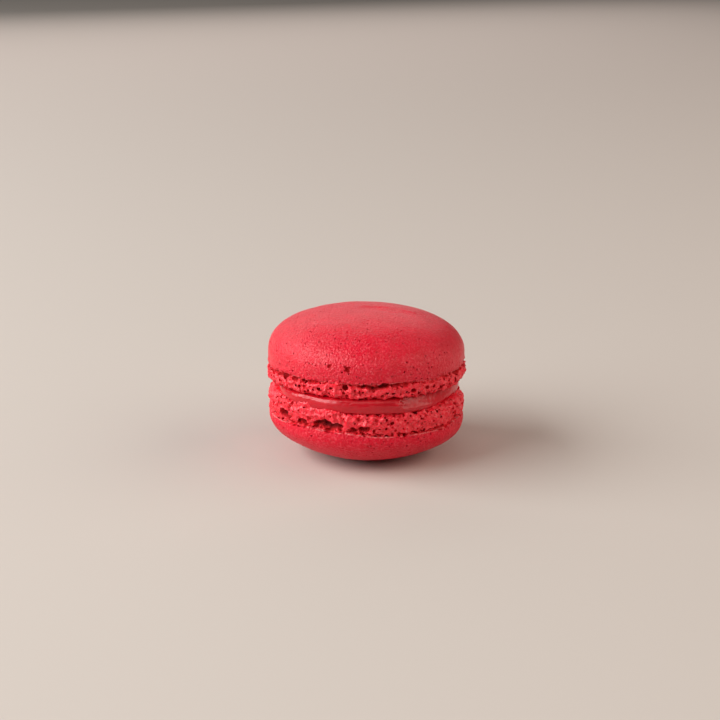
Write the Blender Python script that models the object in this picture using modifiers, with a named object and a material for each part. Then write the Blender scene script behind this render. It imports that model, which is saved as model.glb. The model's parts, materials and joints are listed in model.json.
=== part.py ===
"""A red French macaron: two baked almond-meringue shells with a layer of filling between them.

The macaron stands on the domed side of its lower shell. The origin is on the small flat spot
that it rests on, under the middle of its outline. +Z is up, and -Y is its front. All sizes are
in metres.
"""

import math
import random

import bmesh
import bpy

MM = 0.001

# Driving dimensions
CRUST_RADIUS = 22.6 * MM  # the smooth domes, at their widest
FOOT_RADIUS = 22.65 * MM  # the frothy feet, at their widest
FILLING_RADIUS = 21.75 * MM

LOWER_DOME_HEIGHT = 8.9 * MM  # from the flat spot up to where the dome is widest
LOWER_CRUST_TOP = 10.2 * MM  # where the lower crust ends and its foot begins
LOWER_FOOT_TOP = 15.5 * MM  # the lower shell's flat side, under the filling
FILLING_SPACE = 2.5 * MM  # between the flat sides of the two shells
UPPER_FOOT_HEIGHT = 3.7 * MM  # from the upper shell's flat side to its crust
UPPER_CRUST_WALL = 2.35 * MM  # steep band of crust between the foot and the dome
UPPER_DOME_HEIGHT = 9.25 * MM
SIT_GAP = 0.3 * MM  # between the filling and each shell

# Heights that follow from those
UPPER_FLAT = LOWER_FOOT_TOP + FILLING_SPACE
UPPER_CRUST_EDGE = UPPER_FLAT + UPPER_FOOT_HEIGHT
UPPER_RIM = UPPER_CRUST_EDGE + UPPER_CRUST_WALL
UPPER_CROWN = UPPER_RIM + UPPER_DOME_HEIGHT

REST_CUT = 0.35 * MM  # how much of the lower dome its flat spot takes away
REST_RADIUS = 5.6 * MM  # the flat spot's radius

# How full each dome is: exponents of a superellipse across and up, 2 and 2 for a true ellipse
LOWER_FULLNESS = (1.95, 1.78)
UPPER_FULLNESS = (2.42, 2.25)

# A macaron is piped and put together by hand, so nothing on it is quite round or level
LOWER_LEAN = math.radians(1.4)  # the lower shell is lower on its right
UPPER_LEAN = math.radians(1.2)  # the upper shell is higher at its front
RIM_SWING = 0.3 * MM  # both shells' rims rise at the front and back, and dip at the sides
LOWER_CROWN_SHIFT = 0.7 * MM  # the lower dome's lowest part lies right of the middle
UPPER_CROWN_SHIFT = -0.6 * MM  # the upper dome's highest part lies left of the middle
OUTLINE_UNEVENNESS = 0.18 * MM
CRUST_EDGE_UNEVENNESS = 0.24 * MM
RUFFLE_DEPTH = 0.30 * MM
CREVICE_DEPTH = 1.0 * MM
CREVICE_UNEVENNESS = 0.45 * MM
FILLING_UNEVENNESS = 0.24 * MM

# Torn hollows between crust and foot: (degrees right of the front, length along the rim, depth)
LOWER_HOLLOWS = (
    (-24.0, 8.5 * MM, 2.2 * MM),
    (-46.0, 3.5 * MM, 1.4 * MM),
    (-4.0, 4.5 * MM, 1.5 * MM),
    (97.0, 5.0 * MM, 1.6 * MM),
    (172.0, 7.0 * MM, 1.9 * MM),
)
UPPER_HOLLOWS = (
    (10.0, 5.0 * MM, 1.9 * MM),
    (-62.0, 4.0 * MM, 1.2 * MM),
    (70.0, 4.0 * MM, 1.0 * MM),
    (-140.0, 6.0 * MM, 1.6 * MM),
)

# Burst air blisters in the upper crust: (degrees right of the front, height, radius)
BLISTERS = (
    (-21.8, 26.15 * MM, 0.62 * MM),
    (-11.4, 25.85 * MM, 0.68 * MM),
    (-14.0, 25.1 * MM, 0.42 * MM),
)
BLISTER_SINK = 0.12 * MM  # how far a blister's centre lies under the crust

# Low swell left on top where the piping bag was lifted away
SWELL_PLACE = (4.5 * MM, 3.0 * MM)
SWELL_RADIUS = 6.5 * MM
SWELL_HEIGHT = 0.30 * MM

SEGMENTS = 96  # around the axis
DOME_RINGS = 9

SHELL_RED = (0.76, 0.035, 0.058, 1.0)
FILLING_RED = (0.47, 0.014, 0.02, 1.0)


def clear_scene():
    """Remove every object, so that the part is the only thing in the file."""
    for item in list(bpy.data.objects):
        bpy.data.objects.remove(item)


def make_material(name, colour, roughness, subsurface):
    """Return a Principled material for baked meringue or for filling."""
    material = bpy.data.materials.new(name)
    material.use_nodes = True
    shader = material.node_tree.nodes["Principled BSDF"]
    shader.inputs["Base Color"].default_value = colour
    shader.inputs["Roughness"].default_value = roughness
    shader.inputs["Metallic"].default_value = 0.0
    shader.inputs["Subsurface Weight"].default_value = subsurface
    shader.inputs["Subsurface Scale"].default_value = 1.0 * MM
    material.diffuse_color = colour
    return material


def make_ripple(seed, slowest, fastest, count):
    """Return a smooth closed ripple of the angle, between about -1 and 1.

    It adds up a few sine waves whose whole numbers of turns lie between slowest and fastest. Its
    drift slides the waves along, some to the left and some to the right.
    """
    source = random.Random(seed)
    waves = [
        (
            source.randint(slowest, fastest),
            source.uniform(0.0, math.tau),
            source.uniform(0.6, 1.0),
            source.choice((-1.0, 1.0)),
        )
        for _ in range(count)
    ]
    total = math.sqrt(sum(size * size for _, _, size, _ in waves))

    def ripple(angle, drift=0.0):
        parts = (size * math.sin(turns * angle + start + way * drift) for turns, start, size, way in waves)
        return sum(parts) / total

    return ripple


def ease(value, low, high):
    """Return 0 below low and 1 above high, with a smooth rise between them."""
    share = min(1.0, max(0.0, (value - low) / (high - low)))
    return share * share * (3.0 - 2.0 * share)


def bump(value, centre, half_width):
    """Return 1 at centre, falling smoothly to 0 at half_width on either side."""
    return 1.0 - ease(abs(value - centre), 0.0, half_width)


def from_front(angle):
    """Return an angle about +Z as degrees right of the front (-Y), from -180 to 180."""
    return (math.degrees(angle) + 270.0) % 360.0 - 180.0


def outer_share(radius):
    """Return 0 over the middle of the macaron and 1 at its rim."""
    return ease(radius, 0.55 * CRUST_RADIUS, 0.95 * CRUST_RADIUS)


def rim_swing(angle, radius):
    """Return how far the rim of either shell rises or dips at this angle."""
    return -RIM_SWING * math.cos(2.0 * angle) * outer_share(radius)


def lower_lean(across):
    """Return how far the lower shell's lean raises a point of its rim or flat side."""
    return -math.tan(LOWER_LEAN) * across


def upper_lean(along):
    """Return how far the upper shell's lean raises one of its points."""
    return -math.tan(UPPER_LEAN) * along


def hollow_depth(angle, hollows):
    """Return how much deeper the crevice is at this angle because of its torn hollows."""
    depth = 0.0
    for place, length, extra in hollows:
        away = abs((from_front(angle) - place + 180.0) % 360.0 - 180.0)
        half_width = math.degrees(0.5 * length / FOOT_RADIUS)
        depth = max(depth, extra * bump(away, 0.0, half_width))
    return depth


def dome_profile(height, fullness):
    """Return (radius, drop below the crown) points of a dome, from its crown to its rim."""
    across, upward = fullness
    points = []
    for ring in range(DOME_RINGS + 1):
        turn = 0.5 * math.pi * ring / DOME_RINGS
        spread = CRUST_RADIUS * math.sin(turn) ** (2.0 / across)
        drop = height * (1.0 - abs(math.cos(turn)) ** (2.0 / upward))
        points.append((spread, drop))
    return points


def foot_profile(flat_height, crust_height):
    """Return (radius, height) points of a foot's side, from its crust to its flat side.

    It works upwards or downwards: crust_height may be above or below flat_height.
    """
    tall = flat_height - crust_height
    stations = (
        (-0.35, 0.10),
        (-0.05, 0.24),
        (0.08, 0.42),
        (0.00, 0.60),
        (-0.15, 0.76),
        (-0.50, 0.89),
        (-1.00, 0.97),
        (-1.70, 1.00),
    )
    return [(FOOT_RADIUS + side * MM, crust_height + share * tall) for side, share in stations]


def crust_lip(crust_height, to_foot):
    """Return the points where a crust turns in to its crevice. to_foot is +1 if the foot lies above."""
    return [
        (CRUST_RADIUS - 0.05 * MM, crust_height - to_foot * 0.75 * MM),
        (CRUST_RADIUS - 0.18 * MM, crust_height - to_foot * 0.22 * MM),
        (CRUST_RADIUS - 0.50 * MM, crust_height),
        (CRUST_RADIUS - 0.90 * MM, crust_height + to_foot * 0.18 * MM),
    ]


def turned_mesh(name, profile):
    """Return a mesh turned about the Z axis from (radius, height) points, top first."""
    line = bpy.data.meshes.new(name + "_profile")
    points = [(radius, 0.0, height) for radius, height in profile]
    edges = [(index, index + 1) for index in range(len(points) - 1)]
    line.from_pydata(points, edges, [])
    lathe = bpy.data.objects.new(name + "_lathe", line)
    bpy.context.scene.collection.objects.link(lathe)
    screw = lathe.modifiers.new("Screw", "SCREW")
    screw.axis = "Z"
    screw.angle = math.tau
    screw.steps = SEGMENTS
    screw.render_steps = SEGMENTS
    screw.use_merge_vertices = True
    screw.merge_threshold = 0.00001
    screw.use_smooth_shade = True
    mesh = evaluated_mesh(lathe, name)
    bpy.data.objects.remove(lathe)
    bpy.data.meshes.remove(line)
    return mesh


def evaluated_mesh(item, name):
    """Return an object's mesh with its modifiers applied."""
    bpy.context.view_layer.update()
    evaluated = item.evaluated_get(bpy.context.evaluated_depsgraph_get())
    mesh = bpy.data.meshes.new_from_object(evaluated)
    mesh.name = name
    return mesh


class Unevenness:
    """The free-hand shape of one shell: where its rim, crust edge, crevice and foot wander."""

    def __init__(self, seed, edge_seed, crust_height, flat_height, hollows):
        self.outline = make_ripple(seed, 2, 5, 4)
        self.crust_edge = make_ripple(edge_seed, 3, 13, 7)
        self.crevice = make_ripple(seed + 2, 9, 31, 9)
        self.ruffle = make_ripple(seed + 3, 14, 27, 8)
        self.fine_ruffle = make_ripple(seed + 4, 27, 43, 8)
        self.crust_height = crust_height
        self.flat_height = flat_height
        self.hollows = hollows

    def foot_share(self, height):
        """Return 0 at the crust's edge and 1 at the flat side."""
        return (height - self.crust_height) / (self.flat_height - self.crust_height)

    def shaped(self, radius, angle, height):
        """Return the (radius, height) of a turned point once it is uneven."""
        outer = outer_share(radius)
        share = self.foot_share(height)
        swing = rim_swing(angle, radius) * ease(share, -2.0, 0.0)
        radius += outer * OUTLINE_UNEVENNESS * self.outline(angle)
        on_foot = outer * ease(share, 0.10, 0.35) * (1.0 - ease(share, 0.97, 1.02))
        lumps = self.ruffle(angle, 3.0 * share) + 0.6 * self.fine_ruffle(angle, -5.0 * share)
        radius += on_foot * RUFFLE_DEPTH * lumps
        in_crevice = outer * bump(share, 0.055, 0.16)
        depth = CREVICE_DEPTH + CREVICE_UNEVENNESS * self.crevice(angle)
        radius -= in_crevice * max(0.2 * MM, depth + hollow_depth(angle, self.hollows))
        near_edge = outer * bump(share, 0.0, 0.55)
        height += swing + near_edge * CRUST_EDGE_UNEVENNESS * self.crust_edge(angle)
        return radius, height

    def apply(self, mesh):
        """Move every point of a turned mesh to its uneven place."""
        for vertex in mesh.vertices:
            across, along, height = vertex.co
            angle = math.atan2(along, across)
            radius, height = self.shaped(math.hypot(across, along), angle, height)
            vertex.co = (radius * math.cos(angle), radius * math.sin(angle), height)


def add_object(name, mesh, material, collection):
    """Put a mesh in the collection as one named, smooth-shaded object."""
    mesh.materials.clear()
    mesh.materials.append(material)
    mesh.shade_smooth()
    mesh.set_sharp_from_angle(angle=math.radians(50.0))
    item = bpy.data.objects.new(name, mesh)
    collection.objects.link(item)
    return item


def make_lower_shell(material, collection):
    """Build the lower shell: a dome standing on its crown, its crust lip and its frothy foot."""
    dome = dome_profile(LOWER_DOME_HEIGHT + REST_CUT, LOWER_FULLNESS)
    outside = [(radius, drop - REST_CUT) for radius, drop in dome if radius > REST_RADIUS + 0.5 * MM]
    bottom = [(0.0, 0.0), (REST_RADIUS, 0.0)]
    side = crust_lip(LOWER_CRUST_TOP, 1.0) + foot_profile(LOWER_FOOT_TOP, LOWER_CRUST_TOP)
    flat_side = [(0.6 * CRUST_RADIUS, LOWER_FOOT_TOP), (0.0, LOWER_FOOT_TOP)]
    profile = bottom + outside + side + flat_side
    mesh = turned_mesh("lower_shell", profile[::-1])
    Unevenness(11, 2785, LOWER_CRUST_TOP, LOWER_FOOT_TOP, LOWER_HOLLOWS).apply(mesh)
    for vertex in mesh.vertices:
        raised = ease(vertex.co.z, 0.0, LOWER_CRUST_TOP)
        vertex.co.z += raised * lower_lean(vertex.co.x)
        vertex.co.x += (1.0 - raised) * LOWER_CROWN_SHIFT
    return add_object("lower_shell", mesh, material, collection)


def blister_cutter():
    """Return one object that holds a small round cutter for each burst blister."""
    builder = bmesh.new()
    for place, height, radius in BLISTERS:
        angle = math.radians(place - 90.0)
        share = (height - UPPER_RIM) / UPPER_DOME_HEIGHT
        across, upward = UPPER_FULLNESS
        turn = math.acos(max(0.0, share) ** (upward / 2.0))
        reach = CRUST_RADIUS * math.sin(turn) ** (2.0 / across) - BLISTER_SINK
        ball = bmesh.ops.create_icosphere(builder, subdivisions=1, radius=radius)
        middle = (reach * math.cos(angle), reach * math.sin(angle), height)
        bmesh.ops.translate(builder, verts=ball["verts"], vec=middle)
    mesh = bpy.data.meshes.new("blister_cutter")
    builder.to_mesh(mesh)
    builder.free()
    cutter = bpy.data.objects.new("blister_cutter", mesh)
    bpy.context.scene.collection.objects.link(cutter)
    return cutter


def with_blisters(mesh, name):
    """Return a mesh with the burst blisters cut out of it."""
    whole = bpy.data.objects.new(name + "_whole", mesh)
    bpy.context.scene.collection.objects.link(whole)
    cutter = blister_cutter()
    cut = whole.modifiers.new("Blisters", "BOOLEAN")
    cut.operation = "DIFFERENCE"
    cut.solver = "EXACT"
    cut.object = cutter
    pitted = evaluated_mesh(whole, name)
    bpy.data.objects.remove(whole)
    bpy.data.objects.remove(cutter)
    return pitted


def make_upper_shell(material, collection):
    """Build the upper shell: its flat side, frothy foot, crust lip, wall and dome."""
    dome = dome_profile(UPPER_DOME_HEIGHT, UPPER_FULLNESS)
    outside = [(radius, UPPER_CROWN - drop) for radius, drop in dome]
    side = crust_lip(UPPER_CRUST_EDGE, -1.0) + foot_profile(UPPER_FLAT, UPPER_CRUST_EDGE)
    flat_side = [(0.6 * CRUST_RADIUS, UPPER_FLAT), (0.0, UPPER_FLAT)]
    mesh = turned_mesh("upper_shell_turned", outside + side + flat_side)
    Unevenness(29, 1463, UPPER_CRUST_EDGE, UPPER_FLAT, UPPER_HOLLOWS).apply(mesh)
    for vertex in mesh.vertices:
        across, along, height = vertex.co
        raised = ease(height, UPPER_RIM, UPPER_CROWN)
        away = math.hypot(across - SWELL_PLACE[0], along - SWELL_PLACE[1])
        swell = raised * SWELL_HEIGHT * bump(away, 0.0, SWELL_RADIUS)
        vertex.co.x = across + raised * UPPER_CROWN_SHIFT
        vertex.co.z = height + upper_lean(along) + swell
    return add_object("upper_shell", with_blisters(mesh, "upper_shell"), material, collection)


def make_filling(material, collection):
    """Build the filling: a full disc between the shells with a soft bulging edge."""
    low = LOWER_FOOT_TOP + SIT_GAP
    high = UPPER_FLAT - SIT_GAP
    middle = 0.5 * (low + high)
    half = 0.5 * (high - low)
    edge = [
        (FILLING_RADIUS - half * (1.0 - math.cos(turn)), middle + half * math.sin(turn))
        for turn in (math.radians(step) for step in (90.0, 45.0, 0.0, -45.0, -90.0))
    ]
    inside = 0.6 * CRUST_RADIUS
    profile = [(0.0, high), (inside, high)] + edge + [(inside, low), (0.0, low)]
    mesh = turned_mesh("filling", profile)
    outline = make_ripple(3672, 2, 9, 7)
    for vertex in mesh.vertices:
        across, along, height = vertex.co
        radius = math.hypot(across, along)
        angle = math.atan2(along, across)
        outer = outer_share(radius)
        wider = 1.0 + outer * FILLING_UNEVENNESS * outline(angle) / FILLING_RADIUS
        share = (height - low) / (high - low)
        lean = share * upper_lean(along) + (1.0 - share) * lower_lean(across)
        vertex.co = (across * wider, along * wider, height + lean + rim_swing(angle, radius))
    return add_object("filling", mesh, material, collection)


def centre_on_origin(items):
    """Slide the macaron sideways so that the middle of its outline is on the Z axis."""
    for axis in (0, 1):
        places = [vertex.co[axis] for item in items for vertex in item.data.vertices]
        middle = 0.5 * (min(places) + max(places))
        for item in items:
            for vertex in item.data.vertices:
                vertex.co[axis] -= middle


def main():
    """Build the macaron."""
    clear_scene()
    collection = bpy.data.collections.new("macaron")
    bpy.context.scene.collection.children.link(collection)
    shell = make_material("baked_shell", SHELL_RED, 0.62, 0.25)
    soft = make_material("soft_filling", FILLING_RED, 0.22, 0.35)
    items = [
        make_lower_shell(shell, collection),
        make_filling(soft, collection),
        make_upper_shell(shell, collection),
    ]
    centre_on_origin(items)


main()
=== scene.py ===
"""The looks of a red French macaron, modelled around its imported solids.

Each shell becomes a smooth baked crust and a frothy foot, and the filling a glossy squeezed
layer. Everything is in metres, +Z up, with the front towards -Y.
"""

import json
import logging
import math
import random
from dataclasses import dataclass, replace
from enum import Enum
from typing import Callable, Iterable, Sequence

import bpy
import numpy as np
from mathutils.bvhtree import BVHTree
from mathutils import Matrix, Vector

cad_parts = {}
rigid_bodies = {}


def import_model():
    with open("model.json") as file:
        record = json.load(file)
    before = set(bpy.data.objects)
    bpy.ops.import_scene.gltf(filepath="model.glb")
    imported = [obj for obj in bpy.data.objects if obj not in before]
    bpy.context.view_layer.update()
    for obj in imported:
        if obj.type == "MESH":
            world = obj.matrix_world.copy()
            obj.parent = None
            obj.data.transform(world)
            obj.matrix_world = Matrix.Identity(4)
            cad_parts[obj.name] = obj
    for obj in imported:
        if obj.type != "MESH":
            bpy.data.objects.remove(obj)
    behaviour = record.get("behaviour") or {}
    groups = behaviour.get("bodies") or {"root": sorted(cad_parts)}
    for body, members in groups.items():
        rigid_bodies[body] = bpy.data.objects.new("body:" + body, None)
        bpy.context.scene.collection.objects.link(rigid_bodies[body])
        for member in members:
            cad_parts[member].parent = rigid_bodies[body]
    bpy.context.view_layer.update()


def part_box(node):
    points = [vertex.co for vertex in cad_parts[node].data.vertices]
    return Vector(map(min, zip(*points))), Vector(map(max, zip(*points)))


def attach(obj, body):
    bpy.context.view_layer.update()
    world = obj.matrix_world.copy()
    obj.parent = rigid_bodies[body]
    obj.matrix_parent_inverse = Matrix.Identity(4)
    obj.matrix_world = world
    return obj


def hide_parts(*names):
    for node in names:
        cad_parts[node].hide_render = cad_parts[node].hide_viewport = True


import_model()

LOG = logging.getLogger("macaron")
MM = 0.001
QUARTER = 0.5 * math.pi
FRONT = -QUARTER
FAR_SIDE = (66.0, 290.0)
DEPTH_NOTE = "depth"
LIP_NOTE = "torn_edge"
BLACK = (0.0, 0.0, 0.0)
WHITE = (1.0, 1.0, 1.0)

Row = np.ndarray
Points = np.ndarray
Piece = bpy.types.Object
Socket = bpy.types.NodeSocket
Colour = tuple[float, float, float]
Rings = Sequence[tuple[float, float]]
Mover = Callable[[Points], Points]


# ---------------- workshop helpers


def in_mm(sizes: Iterable[float]) -> list[float]:
    """Return sizes that are given in millimetres."""
    return [size * MM for size in sizes]


def ease(value: Row, low: float, high: float) -> Row:
    """Rise smoothly from 0 at low to 1 at high.

    Args:
        value: Where to read the rise.
        low: Below this the result is 0.
        high: Above this the result is 1.

    Returns:
        The share at each value.
    """
    share = np.clip((np.asarray(value, float) - low) / (high - low), 0.0, 1.0)
    return share * share * (3.0 - 2.0 * share)


def bump(value: Row, centre: float, half_width: float) -> Row:
    """Return 1 at centre, falling smoothly to 0 at half_width on either side."""
    return 1.0 - ease(np.abs(np.asarray(value, float) - centre), 0.0, half_width)


def to_polar(points: Points) -> tuple[Row, Row]:
    """Return the (radius, angle) of points about the Z axis."""
    return np.hypot(points[:, 0], points[:, 1]), np.arctan2(points[:, 1], points[:, 0])


def from_polar(radius: Row, angle: Row, height: Row) -> Points:
    """Return points from their radius, angle and height."""
    return np.stack([radius * np.cos(angle), radius * np.sin(angle), height], axis=1)


def bearing_angle(bearing: float) -> float:
    """Return the angle about +Z of a bearing in degrees to the right of the front."""
    return FRONT + math.radians(bearing)


def on_rim(bearing: float, radius: float, height: float) -> tuple[float, float, float]:
    """Return the place at a bearing, a radius and a height."""
    angle = bearing_angle(bearing)
    return radius * math.cos(angle), radius * math.sin(angle), height


@dataclass(frozen=True)
class Ripple:
    """A smooth closed wander of the angle, between about -1 and 1."""

    waves: tuple[tuple[int, float, float], ...]

    @classmethod
    def drawn(cls, seed: int, slowest: int, fastest: int, count: int) -> "Ripple":
        """Draw a ripple.

        Args:
            seed: The same seed always gives the same ripple.
            slowest: Fewest whole waves round the rim.
            fastest: Most whole waves round the rim.
            count: How many waves are added up.

        Returns:
            The ripple.
        """
        source = random.Random(seed)
        waves = []
        for _ in range(count):
            turns = source.randint(slowest, fastest)
            waves.append((turns, source.uniform(0.0, math.tau), source.uniform(0.6, 1.0)))
            source.choice((-1.0, 1.0))  # keeps the draws that follow in their places
        return cls(tuple(waves))

    def at(self, angle: Row) -> Row:
        """Return the ripple at each angle."""
        total = math.sqrt(sum(size * size for _, _, size in self.waves))
        parts = (size * np.sin(turns * np.asarray(angle) + start) for turns, start, size in self.waves)
        return sum(parts) / total


def set_fields(target: object, **fields: object) -> None:
    """Set several fields of one thing."""
    for name, value in fields.items():
        setattr(target, name, value)


def deselect_all() -> None:
    """Leave edit mode and select nothing."""
    if bpy.context.mode != "OBJECT":
        bpy.ops.object.mode_set(mode="OBJECT")
    bpy.ops.object.select_all(action="DESELECT")


def pick(piece: Piece) -> None:
    """Select one piece and make it the active one."""
    deselect_all()
    piece.select_set(True)
    bpy.context.view_layer.objects.active = piece


def edit(piece: Piece, selection: str = "SELECT") -> None:
    """Go into a piece's edit mode with all or none of it selected."""
    pick(piece)
    bpy.ops.object.mode_set(mode="EDIT")
    bpy.ops.mesh.select_all(action=selection)


def face_outwards() -> None:
    """Turn all faces of the piece in edit mode outwards, and leave edit mode."""
    bpy.ops.mesh.select_all(action="SELECT")
    bpy.ops.mesh.normals_make_consistent(inside=False)
    bpy.ops.object.mode_set(mode="OBJECT")


def active() -> Piece:
    """Return the active piece."""
    return bpy.context.view_layer.objects.active


def put_in(name: str, data: bpy.types.ID) -> Piece:
    """Put a new object with this data in the scene."""
    item = bpy.data.objects.new(name, data)
    bpy.context.scene.collection.objects.link(item)
    return item


def read_rows(data: bpy.types.bpy_prop_collection, field: str) -> Points:
    """Return a field of three numbers as rows."""
    flat = np.empty(len(data) * 3, np.float32)
    data.foreach_get(field, flat)
    return flat.reshape(-1, 3).astype(float)


def read_points(piece: Piece) -> Points:
    """Return a piece's vertices as rows of x, y, z."""
    return read_rows(piece.data.vertices, "co")


def read_skin(piece: Piece) -> tuple[Points, Points]:
    """Return a piece's vertices and the way that each one faces."""
    return read_points(piece), read_rows(piece.data.vertex_normals, "vector")


def reshape(piece: Piece, mover: Mover) -> None:
    """Move a piece's vertices by hand.

    Args:
        piece: The piece.
        mover: Takes the vertices and returns their new places.
    """
    moved = mover(read_points(piece)).astype(np.float32)
    piece.data.vertices.foreach_set("co", moved.reshape(-1))
    piece.data.update()


def modify(piece: Piece, name: str, kind: str, **fields: object) -> None:
    """Add a modifier to a piece and apply it.

    Args:
        piece: The piece.
        name: The modifier's name.
        kind: The modifier's type.
        fields: What is set on it.
    """
    modifier = piece.modifiers.new(name, kind)
    set_fields(modifier, **fields)
    pick(piece)
    bpy.ops.object.modifier_apply(modifier=modifier.name)


def subdivide_smoothly(piece: Piece, levels: int) -> None:
    """Round a coarse cage by subdivision."""
    modify(piece, "Rounding", "SUBSURF", levels=levels, render_levels=levels)


def recast(piece: Piece, grain: float) -> None:
    """Recast a closed piece, whose shapes may overlap, as one even skin of small faces."""
    modify(piece, "Skin", "REMESH", mode="VOXEL", voxel_size=grain, adaptivity=0.0, use_smooth_shade=True)


def cut_away(piece: Piece, cutter: Piece) -> None:
    """Cut one closed piece out of another, and throw the cutter away."""
    modify(piece, "Cut", "BOOLEAN", operation="DIFFERENCE", solver="MANIFOLD", object=cutter)
    bpy.data.objects.remove(cutter)


def keep_main_body(piece: Piece) -> None:
    """Delete the crumbs that a cut has left loose, and turn all faces outwards."""
    edit(piece, "DESELECT")
    bpy.ops.object.mode_set(mode="OBJECT")
    piece.data.vertices[int(np.argmax(read_points(piece)[:, 0]))].select = True
    bpy.ops.object.mode_set(mode="EDIT")
    bpy.ops.mesh.select_linked()
    bpy.ops.mesh.select_all(action="INVERT")
    bpy.ops.mesh.delete(type="VERT")
    face_outwards()


def skin_tree(piece: Piece, shown: Row) -> BVHTree:
    """Keep a piece's skin as it is now, to measure depths from it later.

    Args:
        piece: The piece, before anything is cut from it.
        shown: Which of its vertices belong to the skin.

    Returns:
        The skin's faces as a search tree.
    """
    faces = [tuple(face.vertices) for face in piece.data.polygons]
    faces = [face for face in faces if shown[list(face)].all()]
    return BVHTree.FromPolygons(read_points(piece).tolist(), faces)


def note(piece: Piece, name: str, values: Sequence[float]) -> None:
    """Note a value on each vertex, for the finish to read."""
    piece.data.attributes.new(name, "FLOAT", "POINT").data.foreach_set("value", values)


def note_depth(piece: Piece, skin: BVHTree, shallowest: float, deepest: float) -> None:
    """Note on each vertex how far it lies below the old skin.

    Args:
        piece: The piece, after the cuts.
        skin: Its old skin.
        shallowest: The depth that is noted as 0.
        deepest: The depth that is noted as 1.
    """
    depths = []
    for vertex in piece.data.vertices:
        near, facing, _, _ = skin.find_nearest(vertex.co)
        depth = (near - vertex.co).dot(facing)
        depths.append(min(1.0, max(0.0, (depth - shallowest) / (deepest - shallowest))))
    note(piece, DEPTH_NOTE, depths)


def mark(piece: Piece, name: str, weights: Row) -> None:
    """Mark in ten steps how far a relief of this name takes hold of each vertex."""
    group = piece.vertex_groups.new(name=name)
    for level in range(1, 11):
        chosen = np.flatnonzero(np.round(weights * 10.0) == level)
        group.add(chosen.tolist(), level / 10.0, "REPLACE")


def pull_rings(rings: Rings) -> None:
    """Extrude the selected ring from place to place, beginning with its own."""
    for (radius, height), (next_radius, next_height) in zip(rings, rings[1:]):
        step = (0.0, 0.0, next_height - height)
        bpy.ops.mesh.extrude_region_move(TRANSFORM_OT_translate={"value": step})
        share = next_radius / radius
        bpy.ops.transform.resize(value=(share, share, 1.0), center_override=(0.0, 0.0, next_height))


def put_in_order(cage: Piece) -> None:
    """Put a cage's faces in one fixed order, so that every run gives the same piece."""
    faces = []
    for face in cage.data.polygons:
        corners = list(face.vertices)
        first = corners.index(min(corners))
        faces.append(corners[first:] + corners[:first])
    points = read_points(cage).tolist()
    cage.data.clear_geometry()
    cage.data.from_pydata(points, [], sorted(faces))
    cage.data.update()


def turned_cage(name: str, segments: int, profile: Rings, closed: bool) -> Piece:
    """Model a round cage ring by ring.

    Args:
        name: The new piece's name.
        segments: Faces around the axis, a multiple of 4.
        profile: (radius, height) of each ring.
        closed: Whether the last ring meets the first. If not, the first ring stays open, and
            an even grid of faces fills the last.

    Returns:
        The cage.
    """
    rings = [*profile, profile[0]] if closed else profile
    radius, height = rings[0]
    deselect_all()
    bpy.ops.mesh.primitive_circle_add(vertices=segments, radius=radius, location=(0.0, 0.0, height))
    cage = active()
    cage.name = cage.data.name = name
    bpy.ops.object.transform_apply(location=True, rotation=True, scale=True)
    edit(cage)
    pull_rings(rings)
    if closed:
        bpy.ops.mesh.select_all(action="SELECT")
        bpy.ops.mesh.remove_doubles(threshold=0.01 * MM)
    else:
        bpy.ops.mesh.fill_grid(span=segments // 4)
    face_outwards()
    put_in_order(cage)
    return cage


def close_flat(piece: Piece, share: float) -> None:
    """Close a piece's one open end with a flat face, narrowed to a share of the end's width."""
    edit(piece, "DESELECT")
    bpy.ops.mesh.select_mode(type="EDGE")
    bpy.ops.mesh.select_non_manifold(extend=False)
    bpy.ops.mesh.extrude_region_move(TRANSFORM_OT_translate={"value": (0.0, 0.0, 0.0)})
    bpy.ops.transform.resize(value=(share, share, 0.0))
    bpy.ops.mesh.edge_face_add()
    bpy.ops.mesh.select_mode(type="VERT")
    face_outwards()


# ---------------- relief and bubbles


class ReliefKind(Enum):
    """What a surface relief looks like."""

    SWELLS = "CLOUDS"
    FOAM = "VORONOI"
    TORN = "MUSGRAVE"


PATTERNS = {
    ReliefKind.SWELLS: {"noise_depth": 1, "noise_basis": "IMPROVED_PERLIN"},
    ReliefKind.FOAM: {"distance_metric": "DISTANCE_SQUARED", "weight_1": 1.0, "noise_intensity": 1.0},
    ReliefKind.TORN: {
        "musgrave_type": "RIDGED_MULTIFRACTAL",
        "octaves": 1.6,
        "dimension_max": 0.9,
        "lacunarity": 2.1,
        "offset": 1.0,
        "gain": 1.0,
        "noise_intensity": 0.5,
    },
}


@dataclass(frozen=True)
class Relief:
    """One layer of real relief in a surface."""

    name: str
    scale: float
    depth: float
    kind: ReliefKind = ReliefKind.SWELLS
    level: float = 0.5
    group: str = ""

    def press(self, piece: Piece) -> None:
        """Press this relief into a piece's skin."""
        pattern = bpy.data.textures.new(self.name, self.kind.value)
        set_fields(pattern, noise_scale=self.scale, **PATTERNS[self.kind])
        how = {"texture_coords": "LOCAL", "direction": "NORMAL", "vertex_group": self.group}
        how |= {"strength": self.depth, "mid_level": self.level}
        modify(piece, self.name, "DISPLACE", texture=pattern, **how)


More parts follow.
